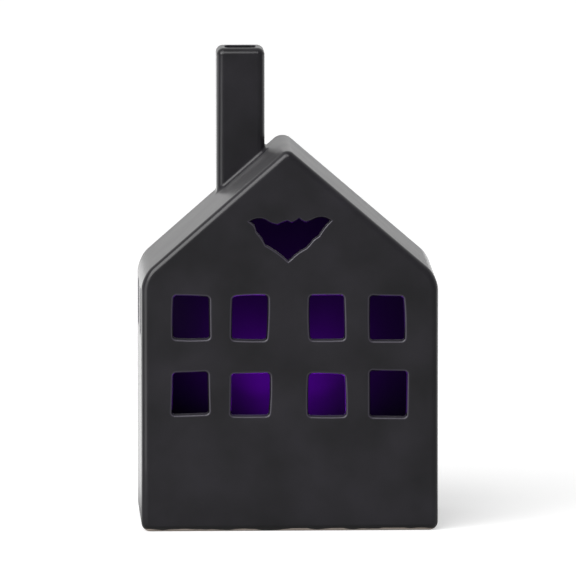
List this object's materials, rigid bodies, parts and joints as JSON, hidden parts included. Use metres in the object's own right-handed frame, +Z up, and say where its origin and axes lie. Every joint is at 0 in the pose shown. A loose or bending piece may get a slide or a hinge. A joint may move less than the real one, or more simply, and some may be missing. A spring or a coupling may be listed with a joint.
{
  "type": "ceramic halloween house",
  "caption": "Black satin-glazed ceramic Halloween house with window and bat cut-outs, an open chimney and a battery lamp in its floor.",
  "frame": {"origin": "on the table, under the middle of the house's foot", "axes": "+Z up; +X to the right seen from the front; the front wall with the bat faces -Y"},
  "size_m": [0.124, 0.068, 0.1978],
  "materials": {
    "black_glaze": "satin",
    "silicone": "matte",
    "box_plastic": "fine grain",
    "battery_sleeve": "gloss",
    "contact_steel": "nickel plated",
    "case_steel": "zinc plated",
    "knob_plastic": "semi-gloss",
    "screw_steel": "zinc plated",
    "board_laminate": "semi-gloss",
    "lamp_epoxy": "diffused",
    "lead_steel": "tinned",
    "resistor_ceramic": "lacquered",
    "red_pvc": "semi-gloss",
    "yellow_pvc": "semi-gloss",
    "black_pvc": "semi-gloss"
  },
  "bodies": {
    "house": {"house_shell": "black_glaze", "floor_seal": "silicone", "battery_box": "box_plastic", "front_battery": "battery_sleeve", "rear_battery": "battery_sleeve", "positive_contact": "contact_steel", "negative_contact": "contact_steel", "bridge_contact": "contact_steel", "bridge_spring": "contact_steel", "negative_spring": "contact_steel", "switch_case": "case_steel", "switch_screws": "screw_steel", "lamp_board": "board_laminate", "board_screws": "screw_steel", "lamp_lens": "lamp_epoxy", "lamp_leads": "lead_steel", "resistor": "resistor_ceramic", "red_wire": "red_pvc", "yellow_wire": "yellow_pvc", "black_wire": "black_pvc"},
    "door": {"battery_door": "box_plastic"},
    "switch": {"switch_knob": "knob_plastic"}
  },
  "joints": [
    {"name": "door_swing", "type": "hinge", "parent": "house", "child": "door", "pos_m": [-0.02905, 0, 0.002], "axis": [0, 1, 0], "range_deg": [0, 95]},
    {"name": "switch_slide", "type": "slide", "parent": "house", "child": "switch", "axis": [0, 1, 0], "range_m": [0, 0.0035]}
  ]
}
